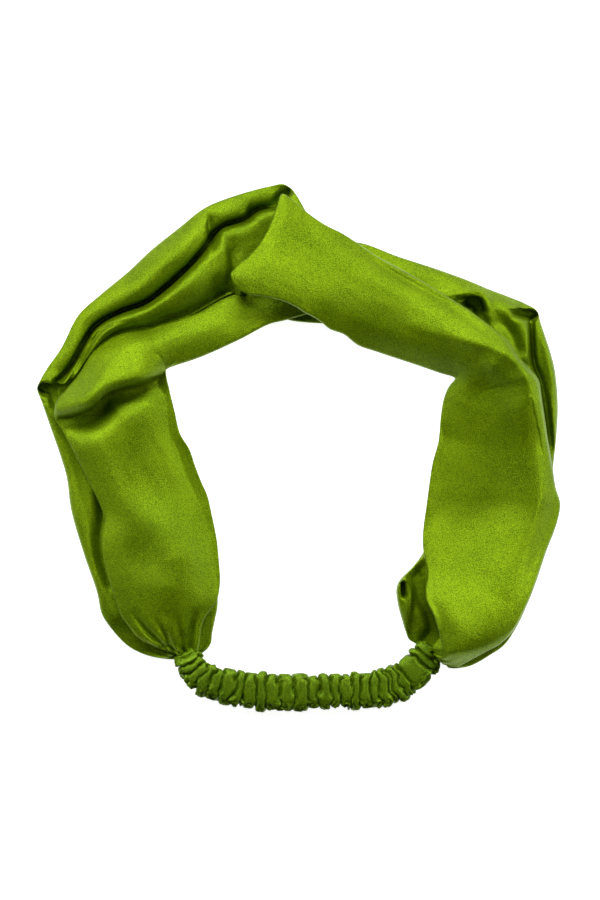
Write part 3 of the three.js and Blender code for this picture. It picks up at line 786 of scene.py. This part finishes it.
def seam_thread(name, *wound):
    """A two-ply sewing thread wound round a gathered neck, as wound_line places it."""
    line, out, third = wound_line(*wound)
    run = distance_along(line)
    angle = np.linspace(0, 2 * np.pi, PLY_POINTS, endpoint=False)[None, :, None]
    vertices, faces = [], []
    for ply in (0, np.pi):
        phase = (2 * np.pi * run / PLY_TWIST + ply)[:, None]
        middle = line + PLY_OFFSET * (out * np.cos(phase) + third * np.sin(phase))
        round_ply = out[:, None] * np.cos(angle) + third[:, None] * np.sin(angle)
        ring = middle[:, None] + THREAD_RADIUS * round_ply
        first = len(vertices)
        vertices += list(ring.reshape(-1, 3)) + [middle[0], middle[-1]]
        faces += tube_faces(len(ring), PLY_POINTS, first)
    obj = mesh_object(name + "_twisted", to_row(vertices), faces)
    obj.data.materials.append(SEWING_THREAD)
    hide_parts(name)
    return obj


# ------------------------------------------------------------------ materials
def srgb(r, g, b):
    """Linear colour from 8-bit sRGB values."""
    return [((c / 255 + 0.055) / 1.055) ** 2.4 if c > 10 else c / 255 / 12.92 for c in (r, g, b)] + [1.0]


class Shader:
    """A Principled material whose nodes are added one by one."""

    def __init__(self, name):
        self.material = bpy.data.materials.new(name)
        self.material.use_nodes = True
        self.tree = self.material.node_tree
        self.principled = self.tree.nodes["Principled BSDF"]
        self.coordinates = self.tree.nodes.new("ShaderNodeTexCoord")

    def set(self, **values):
        for name, value in values.items():
            self.principled.inputs[name.replace("_", " ")].default_value = value

    def node(self, kind, inputs=(), **settings):
        made = self.tree.nodes.new("ShaderNode" + kind)
        for key, value in settings.items():
            setattr(made, key, value)
        for key, value in dict(inputs).items():
            if isinstance(value, bpy.types.NodeSocket):
                self.tree.links.new(value, made.inputs[key])
            else:
                made.inputs[key].default_value = value
        return made

    def link(self, socket, name):
        self.tree.links.new(socket, self.principled.inputs[name])

    def colours(self, amount, low, high, positions=(0.0, 1.0)):
        """Base colour from a ramp that goes from low to high between the two positions."""
        ramp = self.node("ValToRGB", {"Fac": amount})
        for element, position, colour in zip(ramp.color_ramp.elements, positions, (low, high)):
            element.position, element.color = position, colour
        self.link(ramp.outputs["Color"], "Base Color")

    def bump(self, height, strength, distance):
        bump = self.node("Bump", {"Height": height, "Strength": strength, "Distance": distance})
        self.link(bump.outputs["Normal"], "Normal")

    def millimetres(self):
        """Object coordinates with one unit to the millimetre."""
        return self.node("Mapping", {"Vector": self.coordinates.outputs["Object"],
                                     "Scale": (1000, 1000, 1000)}).outputs["Vector"]


def satin(name, dark, light, grain_depth, metallic=0.62):
    """Satin: soft broad shading variation, fine speckled grain and a low sheen."""
    shader = Shader(name)
    place = shader.millimetres()
    broad = shader.node("TexNoise", {"Vector": place, "Scale": 0.05, "Detail": 2.0})
    grain = shader.node("TexNoise", {"Vector": place, "Scale": 2.6, "Detail": 1.0, "Roughness": 0.6})
    mixed = shader.node("Math", {0: broad.outputs["Fac"], 1: 0.2}, operation="MULTIPLY")
    amount = shader.node("Math", {0: grain.outputs["Fac"], 1: 0.8, 2: mixed.outputs[0]},
                         operation="MULTIPLY_ADD")
    shader.colours(amount.outputs[0], dark, light, (0.38, 0.62))
    shader.bump(grain.outputs["Fac"], 0.8, grain_depth)
    shader.set(Roughness=0.44, Metallic=metallic, Specular_IOR_Level=0.15)
    return shader.material


def woven(name, dark, light, threads_per_mm):
    """Ribbed elastic: fine raised threads along its length."""
    shader = Shader(name)
    wave = shader.node("TexWave", {"Vector": shader.millimetres(), "Scale": threads_per_mm,
                                   "Distortion": 0.6}, bands_direction="Y")
    shader.colours(wave.outputs["Fac"], dark, light)
    shader.bump(wave.outputs["Fac"], 0.6, 0.0002)
    shader.set(Roughness=0.75, Specular_IOR_Level=0.25)
    return shader.material


def light_table(name):
    """Pale floor that glows faintly, so that it photographs white right up to the object."""
    shader = Shader(name)
    grain = shader.node("TexNoise", {"Vector": shader.millimetres(), "Scale": 0.02, "Detail": 3.0})
    shader.colours(grain.outputs["Fac"], (0.58, 0.58, 0.58, 1), (0.62, 0.62, 0.62, 1))
    shader.set(Roughness=0.9, Specular_IOR_Level=0.1, Emission_Color=(1, 1, 1, 1), Emission_Strength=0.95)
    return shader.material


BAND_SATIN = satin("band_satin", srgb(76, 105, 0), srgb(132, 162, 6), 0.00024)
CASING_SATIN = satin("casing_satin", srgb(64, 94, 4), srgb(110, 142, 10), 0.00015, 0.5)
WOVEN_ELASTIC = woven("woven_elastic", srgb(176, 178, 166), srgb(226, 226, 216), 1.2)
SEWING_THREAD = satin("sewing_thread", srgb(70, 100, 0), srgb(120, 154, 6), 0.00005)


# ------------------------------------------------------------------ stage
FLOOR_HALF = 3.0         # m
MIDDLE = (0, 0, 0.01)
LIGHTS = [  # name, place in metres, what it points at, width and length in metres, watts
    ("key", (-0.2, 1.2, 1.2), MIDDLE, (1.9, 0.32), 33),
    ("right", (0.42, 0.06, 0.30), (0.09, 0, 0.01), (0.15, 0.15), 1.2),
    ("left", (-0.42, 0.12, 0.30), (-0.09, 0, 0.01), (0.15, 0.15), 0.8),
    ("overhead", (0.0, 0.3, 2.0), MIDDLE, (0.7, 0.7), 1),
]
WORLD_STRENGTH = 0.01


def area_light(name, place, aim, size, power):
    """A rectangular light at place, pointing at aim."""
    data = bpy.data.lights.new(name, "AREA")
    data.shape, data.energy = "RECTANGLE", power
    data.size, data.size_y = size
    light = bpy.data.objects.new(name, data)
    light.location = place
    light.rotation_euler = (Vector(aim) - Vector(place)).to_track_quat("-Z", "Y").to_euler()
    bpy.context.scene.collection.objects.link(light)


def build_stage():
    """Floor, lights and a faint white world."""
    half = FLOOR_HALF
    corners = [(-half, -half, 0), (half, -half, 0), (half, half, 0), (-half, half, 0)]
    floor = mesh_object("floor", corners, [[0, 1, 2, 3]])
    floor.data.materials.append(light_table("pale_floor"))
    for light in LIGHTS:
        area_light(*light)
    world = bpy.data.worlds.new("soft_white")
    world.use_nodes = True
    world.node_tree.nodes["Background"].inputs["Color"].default_value = (1, 1, 1, 1)
    world.node_tree.nodes["Background"].inputs["Strength"].default_value = WORLD_STRENGTH
    bpy.context.scene.world = world
    bpy.context.scene.view_settings.view_transform = "Standard"


def build_camera():
    """Camera above CAMERA_AIM, looking straight down."""
    data = bpy.data.cameras.new("camera")
    data.sensor_width = SENSOR
    data.lens = SENSOR * CAMERA_HEIGHT / FIELD
    camera = bpy.data.objects.new("camera", data)
    aim = (CAMERA_AIM - DRAWING_MIDDLE) * MM
    camera.location = (aim[0], aim[1], CAMERA_HEIGHT * MM)
    bpy.context.scene.collection.objects.link(camera)
    bpy.context.scene.camera = camera


# ------------------------------------------------------------------ headband
build_camera()
build_stage()
left = band("left_band", LEFT_RAILS, LEFT_FOLDS, 1)
right = band("right_band", RIGHT_RAILS, RIGHT_FOLDS, 2)
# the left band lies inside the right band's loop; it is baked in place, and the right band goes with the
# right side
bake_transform(left)
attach(right, "right_side")
tube = casing()
strip = elastic()
# both are baked in place, between the two necks
for piece in (tube, strip):
    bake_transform(piece)
left_thread = seam_thread("left_seam_thread", (-44.6, -83.8), (0.35, -0.94), 4.3, 3.4, 4.6)
right_thread = seam_thread("right_seam_thread", (52.4, -82.6), (-0.69, -0.72), 5.0, 3.6, 4.6)
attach(left_thread, "left_side")
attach(right_thread, "right_side")
